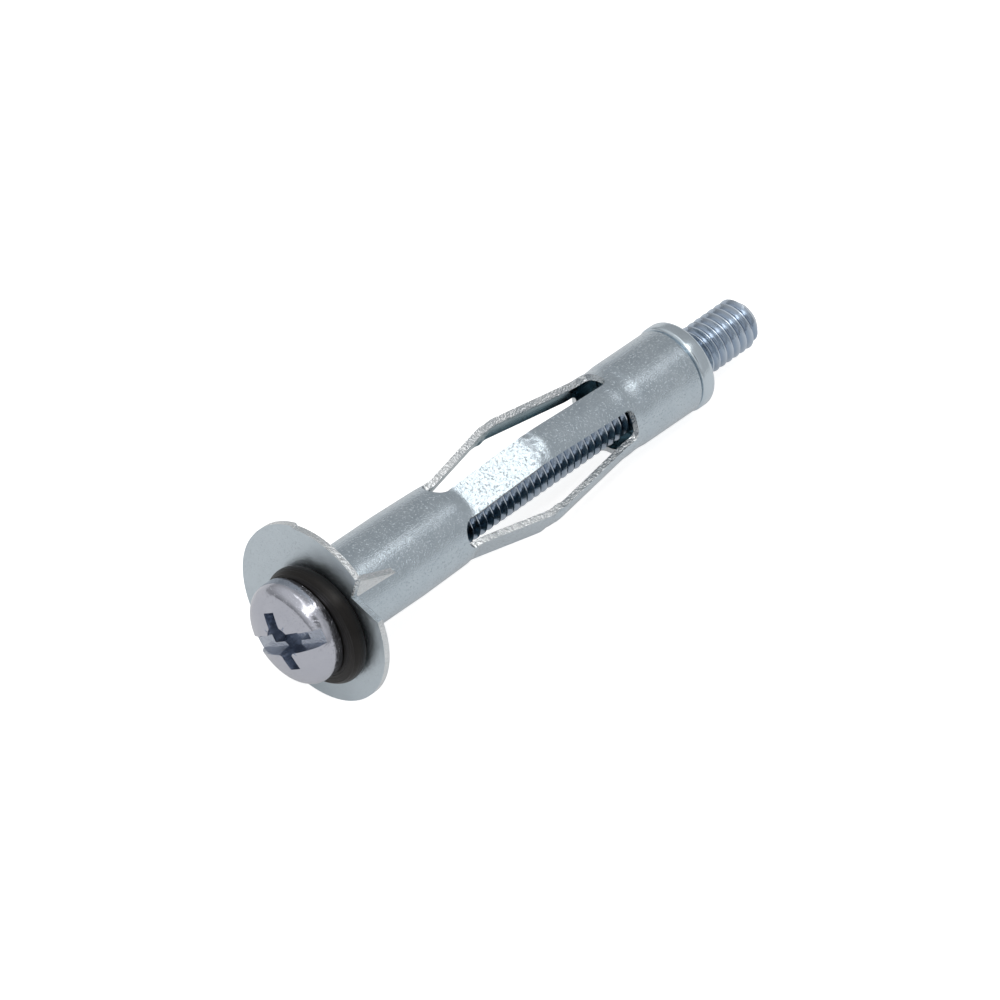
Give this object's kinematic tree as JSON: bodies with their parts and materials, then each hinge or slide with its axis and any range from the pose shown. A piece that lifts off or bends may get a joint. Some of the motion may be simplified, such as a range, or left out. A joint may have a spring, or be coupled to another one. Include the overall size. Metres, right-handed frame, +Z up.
{
  "type": "metal hollow wall anchor",
  "caption": "Metal hollow wall anchor: flanged tube with slotted, kneed legs that fold out behind a board, a nut in its tail, and a pan head machine screw with a washer.",
  "frame": {"origin": "centre of the bounding box in plan, at its bottom, where the anchor lies on its flange and its nut", "axes": "+Z up; +Y along the anchor from the head to the tail, which droops 5.5 degrees; +X to the right, seen from the head"},
  "size_m": [0.014, 0.0482, 0.014],
  "materials": {
    "sleeve_zinc": "bright zinc plated sheet steel, semi-gloss, cool blue-grey",
    "nut_zinc": "bright zinc plated steel, semi-gloss",
    "screw_zinc": "bright zinc plated steel, semi-gloss, a little warmer on the head",
    "washer_black": "black plastic, satin"
  },
  "bodies": {
    "anchor": {"sleeve": "sleeve_zinc", "nut": "nut_zinc"},
    "washer": {"washer": "washer_black"},
    "screw": {"screw": "screw_zinc"}
  },
  "joints": [
    {"name": "screw_advance", "type": "slide", "parent": "anchor", "child": "washer", "axis": [0.0058, -0.9962, 0.0871], "range_m": [0, 0.0126]},
    {"name": "screw_turn", "type": "hinge", "parent": "washer", "child": "screw", "pos_m": [0, 0.01448, 0.00367], "axis": [0.0058, -0.9962, 0.0871], "range_deg": [0, 6480]}
  ],
  "couplings": [
    {"joint": "screw_turn", "follows": "screw_advance", "rad_per_m": 8976}
  ]
}
